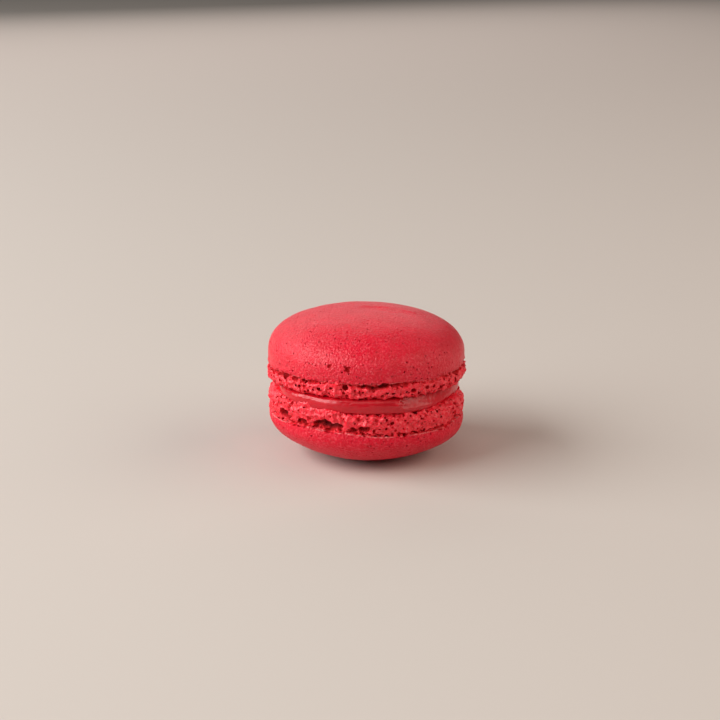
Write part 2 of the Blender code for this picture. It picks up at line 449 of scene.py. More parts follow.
@dataclass(frozen=True)
class Bubble:
    """One air bubble: its centre, its half sizes along the rim, up and inwards, and its roll."""

    centre: tuple[float, float, float]
    along: float
    tall: float
    deep: float
    roll: float = 0.0

    def placed(self, ball: Points) -> Points:
        """Return a unit ball's points stretched and moved to this bubble."""
        angle = math.atan2(self.centre[1], self.centre[0])
        outward = np.array([math.cos(angle), math.sin(angle), 0.0])
        sideways = np.array([-math.sin(angle), math.cos(angle), 0.0])
        upward = np.array([0.0, 0.0, 1.0])
        turned_side = math.cos(self.roll) * sideways + math.sin(self.roll) * upward
        turned_up = -math.sin(self.roll) * sideways + math.cos(self.roll) * upward
        return (
            np.array(self.centre)
            + ball[:, :1] * self.along * turned_side
            + ball[:, 1:2] * self.tall * turned_up
            + ball[:, 2:] * self.deep * outward
        )


def blow(name: str, bubbles: Sequence[Bubble], roundness: int, ruffle: float) -> Piece:
    """Join bubbles that stay apart from each other into one cutter.

    Args:
        name: The cutter's name.
        bubbles: The bubbles.
        roundness: How finely each ball is divided.
        ruffle: How unevenly the balls are blown.

    Returns:
        The cutter.
    """
    deselect_all()
    bpy.ops.mesh.primitive_ico_sphere_add(subdivisions=roundness, radius=1.0)
    model = active()
    ball = read_points(model)
    corners = np.array([list(face.vertices) for face in model.data.polygons])
    bpy.data.objects.remove(model)
    clusters = [bubble.placed(ball) for bubble in bubbles]
    faces = np.concatenate([corners + index * len(ball) for index in range(len(clusters))])
    mesh = bpy.data.meshes.new(name)
    mesh.from_pydata(np.concatenate(clusters).tolist(), [], faces.tolist())
    mesh.update()
    cutter = put_in(name, mesh)
    if ruffle:
        Relief("bubble_walls", 2.5 * ruffle, ruffle).press(cutter)
    edit(cutter)
    face_outwards()
    return cutter


@dataclass(frozen=True)
class Froth:
    """One size of bubble that broke open all over a foot's skin."""

    name: str
    count: int
    smallest: float
    largest: float
    sunk: tuple[float, float]
    stretch: float
    roundness: int
    ruffle: float
    gap: float = 1.08

    def scatter(self, points: Points, normals: Points, source: random.Random) -> Piece:
        """Scatter bubbles over a skin, so that none of this layer touches another.

        Args:
            points: Places on the skin.
            normals: Which way the skin faces there.
            source: Where the chance comes from.

        Returns:
            The bubbles, as one cutter.
        """
        order = np.lexsort(np.round(points / (0.001 * MM)).T).tolist()
        source.shuffle(order)
        centres = np.empty((self.count, 3))
        reaches = np.empty(self.count)
        found: list[Bubble] = []
        for index in order:
            if len(found) == self.count:
                break
            size = self.smallest + (self.largest - self.smallest) * source.random() ** 2
            longest = size * source.uniform(1.0, self.stretch)
            centre = points[index] - normals[index] * (size * source.uniform(*self.sunk))
            placed = len(found)
            apart = np.linalg.norm(centres[:placed] - centre, axis=1) if placed else np.empty(0)
            if np.any(apart < reaches[:placed] + self.gap * longest):
                continue
            centres[placed] = centre
            reaches[placed] = self.gap * longest
            tall = size * source.uniform(0.8, 1.0)
            found.append(Bubble(tuple(centre), longest, tall, size, source.uniform(-1.4, 1.4)))
        return blow(self.name, found, self.roundness, self.ruffle)


@dataclass(frozen=True)
class Hollow:
    """A torn hollow in a foot.

    It is placed by its bearing and by how far it lies from the crust's edge towards the filling.
    """

    bearing: float
    offset: float
    length: float
    tall: float
    depth: float

    def bubbles(self, edge: float, radius: float, towards: float, source: random.Random) -> list[Bubble]:
        """Return the bubbles that tore it.

        Args:
            edge: The crust edge's height at this bearing.
            radius: The foot's radius.
            towards: +1 if the foot lies above its crust, -1 if below.
            source: Where the chance unevenness comes from.

        Returns:
            A few overlapping bubbles.
        """
        vary = source.uniform
        count = max(2, round(1.6 * self.length / self.tall))
        found = []
        for index in range(count):
            share = (index + 0.5) / count - 0.5
            middle = 1.0 - 1.2 * share * share
            slide = share * self.length * 0.8 + vary(-0.06, 0.06) * self.length
            centre = on_rim(
                self.bearing + math.degrees(slide / radius),
                radius + vary(-0.15, 0.1) * self.depth,
                edge + towards * self.offset + vary(-0.14, 0.14) * self.tall,
            )
            along = 0.55 * self.length / count + 0.30 * self.tall
            tall = 0.6 * self.tall * middle * vary(0.85, 1.15)
            deep = self.depth * middle * vary(0.8, 1.1)
            found.append(Bubble(centre, along, tall, deep, vary(-0.35, 0.35)))
        return found


# ---------------- the macaron's plan


class Side(Enum):
    """Which shell: the number is the direction from its foot to its crown."""

    UPPER = 1
    LOWER = -1


@dataclass(frozen=True)
class Plan:
    """The sizes that the pieces share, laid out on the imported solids' own box."""

    crust_radius: float = 22.6 * MM
    foot_radius: float = 22.65 * MM
    filling_radius: float = 21.75 * MM
    swing: float = 0.3 * MM
    lower_lean: float = math.radians(1.4)
    upper_lean: float = math.radians(1.2)
    outline_wander: float = 0.18 * MM
    edge_wander: float = 0.24 * MM

    def outer_share(self, radius: Row) -> Row:
        """Return 0 over the middle of the macaron and 1 at its rim."""
        return ease(radius, 0.55 * self.crust_radius, 0.95 * self.crust_radius)

    def rim_swing(self, angle: Row, radius: Row) -> Row:
        """Return how far the rims rise at the front and back, and dip at the sides."""
        return -self.swing * np.cos(2.0 * angle) * self.outer_share(radius)

    def rise_lower(self, across: Row) -> Row:
        """Return how far the lower shell's lean raises a point."""
        return -math.tan(self.lower_lean) * across

    def rise_upper(self, along: Row) -> Row:
        """Return how far the upper shell's lean raises a point."""
        return -math.tan(self.upper_lean) * along


@dataclass(frozen=True)
class Fold:
    """A small fold in the skin: a ridge from x, y to x, y, with a crease along one side."""

    line: tuple[float, float, float, float]
    height: float
    width: float

    def rise(self, across: Row, along: Row) -> Row:
        """Return how far the fold lifts the skin at each place."""
        width = self.width
        start = np.array(self.line[:2])
        run = np.array(self.line[2:]) - start
        length = float(np.hypot(*run))
        run /= length
        offset_x = across - start[0]
        offset_y = along - start[1]
        travel = offset_x * run[0] + offset_y * run[1]
        beside = offset_y * run[0] - offset_x * run[1]
        beside = beside + 0.25 * width * np.sin(travel / width * 2.3)
        ends = ease(travel, -0.6 * width, 0.8 * width)
        ends = ends * (1.0 - ease(travel, length - 0.8 * width, length + 0.6 * width))
        ridge = np.exp(-((beside / width) ** 2))
        crease = np.exp(-(((beside + 1.3 * width) / (0.7 * width)) ** 2))
        return self.height * ends * (ridge - 0.75 * crease)


@dataclass(frozen=True)
class Swell:
    """A place on a rim where the crust's edge climbs away from the foot, and the side swells.

    The lift raises the flat side.
    """

    bearing: float
    spread: float
    climb: float = 0.0
    out: float = 0.0
    lift: float = 0.0

    def share(self, angle: Row) -> Row:
        """Return 1 in the middle of the swell, and 0 beyond its spread."""
        away = np.asarray(angle) - bearing_angle(self.bearing)
        return bump(np.degrees(np.arctan2(np.sin(away), np.cos(away))), 0.0, self.spread)


class Chance(Enum):
    """What a shell draws by chance: the number is added to its seed."""

    HOLLOWS = 50
    FROTH = 60
    CREVICE = 70
    GAPE = 71
    PINS = 80
    FAR_HOLLOWS = 90


@dataclass
class Shell:
    """One baked shell: its heights, its leans and its torn places.

    Heights run from the flat inner side over the foot and the crust's edge to the crown.
    """

    side: Side
    plan: Plan
    flat: float
    edge: float
    rim: float
    crown: float
    fullness: tuple[float, float]
    seed: int
    edge_seed: int
    crown_shift: float
    front_hollows: tuple[Hollow, ...]
    swells: tuple[Swell, ...]
    folds: tuple[Fold, ...] = ()
    blisters: tuple[Bubble, ...] = ()

    def __post_init__(self) -> None:
        """Draw the shell's free-hand outline."""
        self.outline = Ripple.drawn(self.seed, 2, 5, 4)
        self.edge_line = Ripple.drawn(self.edge_seed, 3, 13, 7)

    @property
    def up(self) -> float:
        """The direction from the foot to the crown, +1 or -1."""
        return float(self.side.value)

    @property
    def name(self) -> str:
        """The shell's name, which its solid's and its pieces' names begin with."""
        return self.side.name.lower()

    def chance(self, purpose: Chance) -> random.Random:
        """Return the source of chance for one purpose."""
        return random.Random(self.seed + purpose.value)

    def foot_share(self, height: Row) -> Row:
        """Return 0 at the crust's edge and 1 at the flat side."""
        return (height - self.edge) / (self.flat - self.edge)

    def past_edge(self, points: Points) -> Row:
        """Return how far points lie beyond the level of the crust's edge, towards the crown."""
        return self.up * (points[:, 2] - self.edge)

    def dome_point(self, turn: float) -> tuple[float, float]:
        """Return the dome's (radius, height), from the crown at turn 0 to the rim at a quarter."""
        across, upward = self.fullness
        radius = self.plan.crust_radius * math.sin(turn) ** (2.0 / across)
        level = max(0.0, math.cos(turn)) ** (2.0 / upward)
        return radius, self.rim + (self.crown - self.rim) * level

    def dome_height(self, radius: Row) -> Row:
        """Return the dome's height over each radius, before anything leans."""
        across, upward = self.fullness
        share = np.clip(np.asarray(radius, float) / self.plan.crust_radius, 0.0, 1.0)
        turn = np.arcsin(share ** (across / 2.0))
        return self.rim + (self.crown - self.rim) * np.cos(turn) ** (2.0 / upward)

    def edge_line_at(self, angle: Row) -> Row:
        """Return the crust edge's real height at each angle."""
        along = np.ones(len(angle))
        line = from_polar(self.plan.crust_radius * along, angle, self.edge * along)
        return self.uneven(line)[:, 2]

    def edge_height(self, bearing: float) -> float:
        """Return the crust edge's real height at a bearing."""
        return float(self.edge_line_at(np.array([bearing_angle(bearing)]))[0])

    def uneven(self, points: Points) -> Points:
        """Lean and wander the points of this shell as its free-hand shape does."""
        plan = self.plan
        radius, angle = to_polar(points)
        height = points[:, 2].copy()
        outer = plan.outer_share(radius)
        share = self.foot_share(height)
        radius = radius + outer * plan.outline_wander * self.outline.at(angle)
        swing = plan.rim_swing(angle, radius) * ease(share, -2.0, 0.0)
        near_edge = outer * bump(share, 0.0, 0.55)
        climb = plan.edge_wander * self.edge_line.at(angle)
        for swell in self.swells:
            here = swell.share(angle)
            climb = climb + self.up * swell.climb * here
            radius = radius + outer * swell.out * here * bump(share, 0.25, 0.8)
            height = height + outer * swell.lift * here * ease(share, 0.4, 1.0)
        height = height + swing + near_edge * climb
        moved = from_polar(radius, angle, height)
        if self.side is Side.UPPER:
            raised = ease(height, self.rim, self.crown)
            moved[:, 2] += plan.rise_upper(moved[:, 1])
            moved[:, 0] += raised * self.crown_shift
        else:
            raised = ease(height, self.crown, self.edge)
            moved[:, 2] += raised * plan.rise_lower(moved[:, 0])
            moved[:, 0] += (1.0 - raised) * self.crown_shift
        return moved

    def far_hollows(self) -> list[Hollow]:
        """Draw the hollows round the sides and the back, of the same kind as the front's."""
        vary = self.chance(Chance.FAR_HOLLOWS).uniform
        found = []
        bearing, last = FAR_SIDE
        while bearing < last:
            tall = vary(0.5, 1.5) * MM
            offset = vary(0.3, 1.6) * MM
            found.append(Hollow(bearing, offset, tall * vary(0.9, 2.4), tall, vary(0.8, 1.9) * MM))
            bearing += vary(5.0, 14.0)
        return found

    def hollows(self) -> list[Bubble]:
        """Return the bubbles of the large torn hollows."""
        source = self.chance(Chance.HOLLOWS)
        found = []
        for hollow in (*self.front_hollows, *self.far_hollows()):
            edge = self.edge_height(hollow.bearing)
            found += hollow.bubbles(edge, self.plan.foot_radius, -self.up, source)
        return found

    def crevice(self) -> list[Bubble]:
        """Return the bubbles strung along the line where the foot rose from the crust."""
        vary = self.chance(Chance.CREVICE).uniform
        opened = Ripple.drawn(self.seed + Chance.GAPE.value, 2, 14, 8)
        found = []
        bearing = -180.0
        while bearing < 180.0:
            gape = float(np.clip(1.0 + 0.6 * opened.at(np.array(math.radians(bearing))), 0.5, 1.7))
            size = vary(0.24, 0.46) * gape * MM
            bearing += math.degrees(vary(0.8, 2.2) * size / self.plan.foot_radius)
            radius = self.plan.foot_radius + vary(-0.45, 0.0) * MM
            height = self.edge_height(bearing) - self.up * vary(-0.05, 0.45) * MM
            halves = (size * vary(0.9, 1.6), size * vary(0.55, 1.0), size * vary(1.6, 3.2))
            found.append(Bubble(on_rim(bearing, radius, height), *halves, vary(-0.6, 0.6)))
        return found

    def tears(self, swell: float) -> Piece:
        """Model the cutter that tears the shell.

        Args:
            swell: How much larger than the torn places the cutter is.

        Returns:
            The cutter, as one closed skin.
        """
        cutter = blow("tears", self.hollows() + self.crevice() + list(self.blisters), 2, 0.14 * MM)
        recast(cutter, 0.16 * MM)
        if swell:
            Relief("swell", MM, swell, level=-0.5).press(cutter)
        return cutter


# ---------------- finishes


class Shader:
    """The nodes of one new material, round its Principled shader."""

    def __init__(self, name: str) -> None:
        """Start the material."""
        self.material = bpy.data.materials.new(name)
        self.material.use_nodes = True
        self.nodes = self.material.node_tree.nodes

    def feed(self, node: bpy.types.Node, values: dict[str | int, object]) -> None:
        """Feed a node's inputs: a socket is linked to them, and anything else is their value."""
        for name, value in values.items():
            if isinstance(value, Socket):
                self.material.node_tree.links.new(value, node.inputs[name])
            else:
                node.inputs[name].default_value = value

    def finish(self, values: dict[str | int, object]) -> bpy.types.Material:
        """Feed the Principled shader, and return the material."""
        self.feed(self.nodes["Principled BSDF"], values)
        return self.material

    def add(self, kind: str, values: dict[str | int, object], result: str, **fields: object) -> Socket:
        """Add a node.

        Args:
            kind: Its type, without the word that all shader nodes begin with.
            values: What its inputs are fed with.
            result: The output that is wanted.
            fields: What is set on it before that.

        Returns:
            The output.
        """
        node = self.nodes.new(f"ShaderNode{kind}")
        set_fields(node, **fields)
        self.feed(node, values)
        return node.outputs[result]

    def noise(self, size: float, detail: float) -> Socket:
        """Add a noise pattern fixed to the piece, with features of about the given size."""
        place = self.add("TexCoord", {}, "Object")
        return self.add("TexNoise", {"Scale": 1.0 / size, "Detail": detail, "Vector": place}, "Fac")

    def pores(self, size: float) -> Socket:
        """Add a pattern of pores fixed to the piece: 0 inside each and 1 between them."""
        place = self.add("TexCoord", {}, "Object")
        cells = self.add("TexVoronoi", {"Scale": 1.0 / size, "Vector": place}, "Distance")
        return self.measured(cells, 0.36, 0.0, 1.0)

    def noted(self, name: str) -> Socket:
        """Add a reader of what was noted on the piece."""
        return self.add("Attribute", {}, "Fac", attribute_name=name)

    def tint(self, factor: Socket, *stops: tuple[float, Colour]) -> Socket:
        """Add a colour ramp with these stops, driven by factor."""
        colour = self.add("ValToRGB", {"Fac": factor}, "Color")
        elements = colour.node.color_ramp.elements
        while len(elements) < len(stops):
            elements.new(0.5)
        for element, (position, shade) in zip(elements, stops):
            element.position = position
            element.color = (*shade, 1.0)
        return colour

    def blended(self, how: str, first: Socket, second: Socket) -> Socket:
        """Add a blend of two colours, such as ADD or MULTIPLY."""
        values = {"Factor": 1.0, "A": first, "B": second}
        return self.add("Mix", values, "Result", data_type="RGBA", blend_type=how)

    def measured(self, value: Socket, high: float, to_low: float, to_high: float) -> Socket:
        """Add a node that takes 0 up to high onto another range."""
        values = {"From Max": high, "To Min": to_low, "To Max": to_high, "Value": value}
        return self.add("MapRange", values, "Result", interpolation_type="SMOOTHSTEP")

    def relief(self, height: Socket, distance: float, **below: Socket) -> Socket:
        """Add a relief of the given depth, over the one below it if there is one."""
        values = {"Strength": 1.0, "Distance": distance, "Height": height, **below}
        return self.add("Bump", values, "Normal")


@dataclass(frozen=True)
class Meringue:
    """Baked meringue: its colours, how it shines, its grain, painted glints and pores."""

    name: str
    light: Colour
    deep: Colour
    painted_glint: Colour
    roughness: float
    shine: float
    grain: float
    grain_depth: float
    pore: float = 0.8 * MM
    pore_depth: float = 0.0

    def material(self) -> bpy.types.Material:
        """Return the finish as a material, which all pieces with this finish share."""
        return bpy.data.materials.get(self.name) or self.mixed()

    def mixed(self) -> bpy.types.Material:
        """Build the material: mottled, with painted glints, a painted highlight on the torn lip, and
        painted shade in pores and deep places, which are also duller.
        """
        shader = Shader(self.name)
        colour = shader.tint(shader.noise(3.2 * MM, 5.0), (0.36, self.deep), (0.62, self.light))
        relief = shader.relief(shader.noise(self.grain, 2.0), self.grain_depth)
        # Painted glints: paler, pinker specks from noise stand in for tiny specular sparkles on the grain.
        painted_glints = shader.tint(shader.noise(1.15 * self.grain, 2.0), (0.50, BLACK), (0.70, self.painted_glint))
        colour = shader.blended("ADD", colour, painted_glints)
        if self.pore_depth:
            # Painted shade: the colour darkens towards each pore's middle.
            pores = shader.pores(self.pore)
            shade = shader.tint(pores, (0.0, (0.80, 0.35, 0.42)), (0.7, WHITE))
            colour = shader.blended("MULTIPLY", colour, shade)
            relief = shader.relief(pores, self.pore_depth, Normal=relief)
        # Painted highlight: the torn lip, broken up by noise, is made paler and pinker.
        wander = shader.measured(shader.noise(1.1 * MM, 1.0), 0.62, 0.0, 1.0)
        lip_highlight_mask = shader.add("Math", {0: shader.noted(LIP_NOTE), 1: wander}, "Value", operation="MULTIPLY")
        painted_lip_highlight = shader.tint(lip_highlight_mask, (0.35, BLACK), (0.8, (0.06, 0.14, 0.13)))
        # Painted shade: the deeper a place lies below the old skin, in pinholes, froth and hollows, the
        # darker its colour.
        depth = shader.noted(DEPTH_NOTE)
        painted_hollow_shade = shader.tint(
            depth,
            (0.0, WHITE),
            (0.09, (0.84, 0.45, 0.55)),
            (0.25, (0.56, 0.08, 0.16)),
            (0.70, (0.20, 0.0, 0.02)),
        )
        return shader.finish(
            {
                "Base Color": shader.blended("MULTIPLY", shader.blended("ADD", colour, painted_lip_highlight), painted_hollow_shade),
                "Normal": relief,
                "Roughness": shader.measured(depth, 0.25, self.roughness, 1.0),
                "Specular IOR Level": self.shine,
                "Subsurface Weight": 0.15,
                "Subsurface Radius": (1.0, 0.25, 0.2),
                "Subsurface Scale": 0.6 * MM,
            }
        )


@dataclass(frozen=True)
class SoftFilling:
    """Smooth glossy filling, deep red and a little see-through."""

    name: str
    light: Colour
    deep: Colour
    roughness: float

    def material(self) -> bpy.types.Material:
        """Build the finish as a material."""
        shader = Shader(self.name)
        colour = shader.tint(shader.noise(4.0 * MM, 3.0), (0.38, self.deep), (0.62, self.light))
        return shader.finish(
            {
                "Base Color": colour,
                "Normal": shader.relief(shader.noise(1.2 * MM, 2.0), 0.02 * MM),
                "Roughness": self.roughness,
                "Subsurface Weight": 0.3,
                "Subsurface Radius": (1.0, 0.2, 0.15),
                "Subsurface Scale": 1.2 * MM,
            }
        )


def dress(piece: Piece, material: bpy.types.Material, node: str) -> None:
    """Finish a piece and tie it to the frame.

    Args:
        piece: The modelled piece.
        material: Its finish.
        node: The solid that it stands for.
    """
    piece.data.materials.clear()
    piece.data.materials.append(material)
    piece.data.shade_smooth()
    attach(piece, "root")
    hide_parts(node)
    LOG.info("%s: %d triangles", piece.name, sum(len(face.vertices) - 2 for face in piece.data.polygons))


# ---------------- sub-assemblies


def settled(points: Points) -> Points:
    """Flatten what would reach below the surface that the macaron stands on."""
    points[:, 2] = np.maximum(points[:, 2], 0.0)
    return points


@dataclass
class ShellPart:
    """One of the two pieces that a shell is made of."""

    shell: Shell
    finish: Meringue

    def dress(self, piece: Piece) -> None:
        """Give the piece its finish and its place in the object."""
        dress(piece, self.finish.material(), f"{self.shell.name}_shell")


@dataclass
class Crust(ShellPart):
    """The smooth baked dome of a shell, down to the torn lip over its foot."""

    segments: int = 160
    dome_rings: int = 11
    cap_share: float = 0.75
    lip_band: float = 0.5 * MM
    high_side: float = 1.8 * MM
    flat_share: float = 0.97
    tear_swell: float = 0.04 * MM
    depths: tuple[float, float] = (0.04 * MM, 2.0 * MM)
    pins: Froth = Froth("pins", 520, 0.17 * MM, 0.31 * MM, (0.35, 0.75), 1.3, 1, 0.0)

    def profile(self) -> list[tuple[float, float]]:
        """Return the rings from the hidden underside, round the lip and over the dome."""
        shell = self.shell
        radius = shell.plan.crust_radius
        lip = ((-1.7, 0.45), (-1.0, 0.20), (-0.55, 0.05), (-0.25, 0.08), (-0.10, 0.35), (-0.04, 0.85))
        rings = [(radius + side * MM, shell.edge + shell.up * rise * MM) for side, rise in lip]
        if abs(shell.rim - shell.edge) > self.high_side:
            rings.append((radius - 0.01 * MM, 0.5 * (shell.rim + shell.edge) + shell.up * 0.3 * MM))
        last = math.asin(self.cap_share ** (shell.fullness[0] / 2.0))
        for ring in range(self.dome_rings + 1):
            rings.append(shell.dome_point(QUARTER - (QUARTER - last) * ring / self.dome_rings))
        return rings

    def crown_cap(self, points: Points) -> Points:
        """Raise the flat cap to the dome's curve."""
        shell = self.shell
        radius, _ = to_polar(points)
        cap = radius < self.cap_share * shell.plan.crust_radius * 0.999
        cap &= shell.up * (points[:, 2] - shell.rim) > 0.0
        points[cap, 2] = shell.dome_height(radius[cap])
        return points

    def creased(self, points: Points) -> Points:
        """Add the folds that the piping bag left on the crown."""
        up = self.shell.up
        on_top = ease(up * (points[:, 2] - self.shell.rim), 1.0 * MM, 3.0 * MM)
        for fold in self.shell.folds:
            points[:, 2] += up * on_top * fold.rise(points[:, 0], points[:, 1])
        return points

    def mark_lip(self, crust: Piece) -> None:
        """Mark the band at the torn lip, for the relief that only it has."""
        height = self.shell.past_edge(read_points(crust))
        mark(crust, "lip", 1.0 - ease(height, 0.4 * self.lip_band, 2.0 * self.lip_band))

    def note_lip(self, crust: Piece) -> None:
        """Note where the thin torn lip is, which the finish paints paler as a highlight."""
        points = read_points(crust)
        rise = self.shell.up * (points[:, 2] - self.shell.edge_line_at(to_polar(points)[1]))
        note(crust, LIP_NOTE, (1.0 - ease(rise, 0.2 * self.lip_band, self.lip_band)).tolist())

    def pin_holes(self, crust: Piece) -> Piece:
        """Return the cutter of the pinholes all over the dome."""
        points, normals = read_skin(crust)
        dome = self.shell.past_edge(points) > 0.5 * MM
        return self.pins.scatter(points[dome], normals[dome], self.shell.chance(Chance.PINS))

    def build(self) -> Piece:
        """Model the crust.

        Returns:
            The finished mesh, undressed.
        """
        shell = self.shell
        crust = turned_cage(f"{shell.name}_crust", self.segments, self.profile(), closed=False)
        reshape(crust, self.crown_cap)
        subdivide_smoothly(crust, 2)
        self.mark_lip(crust)
        reshape(crust, shell.uneven)
        reshape(crust, self.creased)
        Relief("dents", 6.0 * MM, 0.30 * MM).press(crust)
        Relief("orange_peel", 0.7 * MM, 0.09 * MM).press(crust)
        Relief("torn_lip", 0.5 * MM, 0.7 * MM, group="lip").press(crust)
        reshape(crust, settled)
        skin = skin_tree(crust, np.ones(len(crust.data.vertices), bool))
        close_flat(crust, self.flat_share)
        cut_away(crust, self.pin_holes(crust))
        cut_away(crust, shell.tears(self.tear_swell))
        keep_main_body(crust)
        note_depth(crust, skin, *self.depths)
        self.note_lip(crust)
        return crust


@dataclass
class Foot(ShellPart):
    """The frothy ruffled band that rose under a shell's crust."""

    ramps: tuple[Swell, ...] = ()
    segments: int = 176
    ring_gap: float = 0.80 * MM
    tuck: float = 0.35 * MM
    shoulder: float = 1.7 * MM
    wall: float = 3.6 * MM
    overlap: float = 0.9 * MM
    depths: tuple[float, float] = (0.22 * MM, 2.6 * MM)
    froth: tuple[Froth, ...] = (
        Froth("coarse_froth", 100, 0.45 * MM, 0.80 * MM, (0.4, 0.9), 1.3, 2, 0.3 * MM),
        Froth("middle_froth", 300, 0.28 * MM, 0.48 * MM, (0.3, 0.85), 1.4, 2, 0.16 * MM),
        Froth("fine_froth", 370, 0.15 * MM, 0.25 * MM, (0.4, 0.9), 1.4, 1, 0.0),
    )

    def side_at(self, share: float) -> float:
        """Return the outer skin's radius at a share of the way from the crust's edge to the flat."""
        tucked = self.tuck * max(0.0, 1.0 - share / 0.4) ** 2
        rounded = self.shoulder * max(0.0, (share - 0.4) / 0.6) ** 5.5
        return self.shell.plan.foot_radius - tucked - rounded

    def profile(self) -> list[tuple[float, float]]:
        """Return the ring's cross-section, starting hidden inside the crust."""
        shell = self.shell
        tall = shell.flat - shell.edge
        inner = shell.plan.foot_radius - self.wall
        steps = round(QUARTER * abs(tall) / self.ring_gap)
        hidden = shell.edge + shell.up * self.overlap
        rings = [(inner, hidden), (self.side_at(0.0) - 0.7 * MM, hidden)]
        rings.append((self.side_at(0.0) - 0.2 * MM, shell.edge + shell.up * 0.3 * MM))
        for step in range(steps + 1):
            share = math.sin(QUARTER * step / steps)
            rings.append((self.side_at(share), shell.edge + share * tall))
        return [*rings, (inner, shell.flat)]

    def frothy(self, points: Points) -> Row:
        """Return 1 where a foot is frothy, and 0 where its top was smeared smooth."""
        _, angle = to_polar(points)
        smooth = sum((ramp.share(angle) for ramp in self.ramps), np.zeros(len(points)))
        return 1.0 - ease(smooth, 0.0, 0.6) * ease(self.shell.foot_share(points[:, 2]), 0.75, 0.90)

    def is_outer(self, points: Points, normals: Points) -> Row:
        """Return which of the foot's points are on its outer side, which the crust leaves open."""
        radius, _ = to_polar(points)
        facing = np.sum(normals[:, :2] * points[:, :2], axis=1) / radius
        beyond = radius > self.shell.plan.foot_radius - self.shoulder
        return beyond & (self.shell.past_edge(points) < 0.6 * MM) & (facing > 0.15)

    def build(self) -> Piece:
        """Model the foot.

        Returns:
            The finished mesh, undressed.
        """
        shell = self.shell
        foot = turned_cage(f"{shell.name}_foot", self.segments, self.profile(), closed=True)
        subdivide_smoothly(foot, 2)
        reshape(foot, shell.uneven)
        Relief("lobes", 2.2 * MM, 0.8 * MM).press(foot)
        skin = skin_tree(foot, self.is_outer(*read_skin(foot)))
        mark(foot, "froth", self.frothy(read_points(foot)))
        Relief("torn_foam", 1.5 * MM, 0.40 * MM, ReliefKind.TORN, group="froth").press(foot)
        Relief("foam", 1.3 * MM, 0.80 * MM, ReliefKind.FOAM, 0.4, "froth").press(foot)
        source = shell.chance(Chance.FROTH)
        for layer in self.froth:
            points, normals = read_skin(foot)
            outer = self.is_outer(points, normals) & (self.frothy(points) > 0.5)
            cut_away(foot, layer.scatter(points[outer], normals[outer], source))
        cut_away(foot, shell.tears(0.0))
        keep_main_body(foot)
        note_depth(foot, skin, *self.depths)
        return foot


@dataclass(frozen=True)
class Scrape:
    """A flatter face that a spatula left on the filling's upper half.

    It runs from a ragged step at one bearing and fades out at the other.
    """

    ragged: float
    soft: float
    low: tuple[float, float]
    high: tuple[float, float]
    lean: float
    sunk: float

    def between(self, ends: tuple[float, float], bearing: Row) -> Row:
        """Return what runs from one end to the other, as the bearing does from ragged to soft."""
        travel = np.clip((bearing - self.ragged) / (self.soft - self.ragged), 0.0, 1.0)
        return ends[0] + (ends[1] - ends[0]) * travel

    def run(self, bearing: Row, share: Row) -> Row:
        """Return 1 on the face and 0 off it, from the bearing and the share of the layer's height."""
        wander = 0.9 * np.sin(share * 19.0) + 0.4 * np.sin(share * 43.0)
        span = self.soft - self.ragged
        travel = math.copysign(1.0, span) * (bearing - self.ragged) + wander
        along = ease(travel, 0.0, 1.1) * (1.0 - ease(travel, 0.6 * abs(span), abs(span)))
        smear = 0.02 * np.sin(bearing * 1.9) + 0.012 * np.sin(bearing * 4.3 + 1.0)
        above = ease(share - self.between(self.low, bearing) - smear, -0.04, 0.03)
        return along * above * (1.0 - ease(share - self.between(self.high, bearing), -0.03, 0.08))


